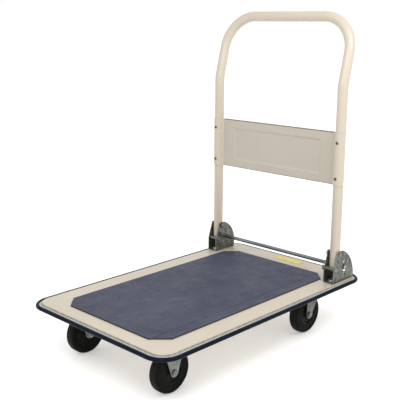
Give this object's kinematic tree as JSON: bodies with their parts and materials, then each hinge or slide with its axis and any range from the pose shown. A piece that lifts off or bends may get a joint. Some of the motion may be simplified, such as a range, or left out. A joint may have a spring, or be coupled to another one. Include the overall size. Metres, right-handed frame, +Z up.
{
  "type": "folding platform cart",
  "caption": "Flat steel platform cart with a ribbed mat, rubber edge bumper, fold-down tubular handle with a sprung foot lock, and rigid front and swivel rear casters.",
  "frame": {"origin": "on the floor, under the centre of the cart's bounding box", "axes": "+X to the right and +Y towards the handle end, as seen by someone standing in front of the cart and looking at the handle; +Z up"},
  "size_m": [0.464, 0.725, 0.7987],
  "materials": {
    "enamel": "cream powder coat, satin gloss",
    "panel_enamel": "cream powder coat on sheet, satin",
    "vinyl": "ribbed blue-grey vinyl, matte",
    "bumper_rubber": "dark navy soft vinyl, slight sheen",
    "yellow_film": "blank yellow film",
    "bracket_zinc": "dull, mottled zinc plate on pressed steel",
    "fork_zinc": "zinc plate on pressed steel",
    "fastener": "zinc plated",
    "dark_rivet": "dark plated",
    "bar_steel": "plated bar",
    "tyre_rubber": "black solid rubber, matte",
    "hub_plastic": "black moulded plastic"
  },
  "bodies": {
    "cart": {"deck_plate": "enamel", "deck_mat": "vinyl", "edge_bumper": "bumper_rubber", "rear_label": "yellow_film", "front_crossmember": "enamel", "rear_crossmember": "enamel", "bracket_left": "bracket_zinc", "pivot_bolt_left": "fastener", "pivot_nut_left": "fastener", "stop_bolt_left": "fastener", "stop_nut_left": "fastener", "bracket_bolt_left_front": "fastener", "bracket_nut_left_front": "fastener", "bracket_bolt_left_rear": "fastener", "bracket_nut_left_rear": "fastener", "fixed_fork_left": "fork_zinc", "axle_bolt_front_left": "fastener", "axle_nut_front_left": "fastener", "swivel_plate_left": "fork_zinc", "kingpin_left": "fastener", "bracket_right": "bracket_zinc", "pivot_bolt_right": "fastener", "pivot_nut_right": "fastener", "stop_bolt_right": "fastener", "stop_nut_right": "fastener", "bracket_bolt_right_front": "fastener", "bracket_nut_right_front": "fastener", "bracket_bolt_right_rear": "fastener", "bracket_nut_right_rear": "fastener", "fixed_fork_right": "fork_zinc", "axle_bolt_front_right": "fastener", "axle_nut_front_right": "fastener", "swivel_plate_right": "fork_zinc", "kingpin_right": "fastener"},
    "handle": {"handle_tube": "enamel", "handle_panel": "panel_enamel", "panel_rivet_left_upper": "dark_rivet", "panel_rivet_left_lower": "dark_rivet", "panel_rivet_right_upper": "dark_rivet", "panel_rivet_right_lower": "dark_rivet"},
    "foot_bar": {"lock_bar": "bar_steel", "bar_clip_left": "bar_steel", "bar_clip_right": "bar_steel"},
    "spring_left": {"bar_spring_left": "bar_steel"},
    "swivel_left": {"swivel_fork_left": "fork_zinc", "axle_bolt_rear_left": "fastener", "axle_nut_rear_left": "fastener"},
    "wheel_front_left": {"wheel_hub_front_left": "hub_plastic", "tyre_front_left": "tyre_rubber"},
    "wheel_rear_left": {"wheel_hub_rear_left": "hub_plastic", "tyre_rear_left": "tyre_rubber"},
    "spring_right": {"bar_spring_right": "bar_steel"},
    "swivel_right": {"swivel_fork_right": "fork_zinc", "axle_bolt_rear_right": "fastener", "axle_nut_rear_right": "fastener"},
    "wheel_front_right": {"wheel_hub_front_right": "hub_plastic", "tyre_front_right": "tyre_rubber"},
    "wheel_rear_right": {"wheel_hub_rear_right": "hub_plastic", "tyre_rear_right": "tyre_rubber"}
  },
  "joints": [
    {"name": "handle_fold", "type": "hinge", "parent": "cart", "child": "handle", "pos_m": [0, 0.264, 0.204], "axis": [1, 0, 0], "range_deg": [0, 98]},
    {"name": "bar_press", "type": "slide", "parent": "cart", "child": "foot_bar", "axis": [0, 0.2924, -0.9563], "range_m": [0, 0.012], "stiffness_N_per_m": 2500, "springref_m": -0.006},
    {"name": "spring_arm_left", "type": "hinge", "parent": "cart", "child": "spring_left", "pos_m": [-0.1825, 0.2468, 0.168], "axis": [1, 0, 0], "range_deg": [-16, 0]},
    {"name": "caster_swivel_left", "type": "hinge", "parent": "cart", "child": "swivel_left", "pos_m": [-0.155, 0.235, 0.11], "axis": [0, 0, 1], "continuous": true},
    {"name": "wheel_spin_front_left", "type": "hinge", "parent": "cart", "child": "wheel_front_left", "pos_m": [-0.144, -0.261, 0.05], "axis": [1, 0, 0], "continuous": true},
    {"name": "wheel_spin_rear_left", "type": "hinge", "parent": "swivel_left", "child": "wheel_rear_left", "pos_m": [-0.155, 0.205, 0.05], "axis": [1, 0, 0], "continuous": true},
    {"name": "spring_arm_right", "type": "hinge", "parent": "cart", "child": "spring_right", "pos_m": [0.1825, 0.2468, 0.168], "axis": [1, 0, 0], "range_deg": [-16, 0]},
    {"name": "caster_swivel_right", "type": "hinge", "parent": "cart", "child": "swivel_right", "pos_m": [0.155, 0.235, 0.11], "axis": [0, 0, 1], "continuous": true},
    {"name": "wheel_spin_front_right", "type": "hinge", "parent": "cart", "child": "wheel_front_right", "pos_m": [0.144, -0.261, 0.05], "axis": [1, 0, 0], "continuous": true},
    {"name": "wheel_spin_rear_right", "type": "hinge", "parent": "swivel_right", "child": "wheel_rear_right", "pos_m": [0.155, 0.205, 0.05], "axis": [1, 0, 0], "continuous": true}
  ],
  "couplings": [
    {"joint": "spring_arm_left", "follows": "bar_press", "rad_per_m": -22.9},
    {"joint": "spring_arm_right", "follows": "bar_press", "rad_per_m": -22.9}
  ]
}
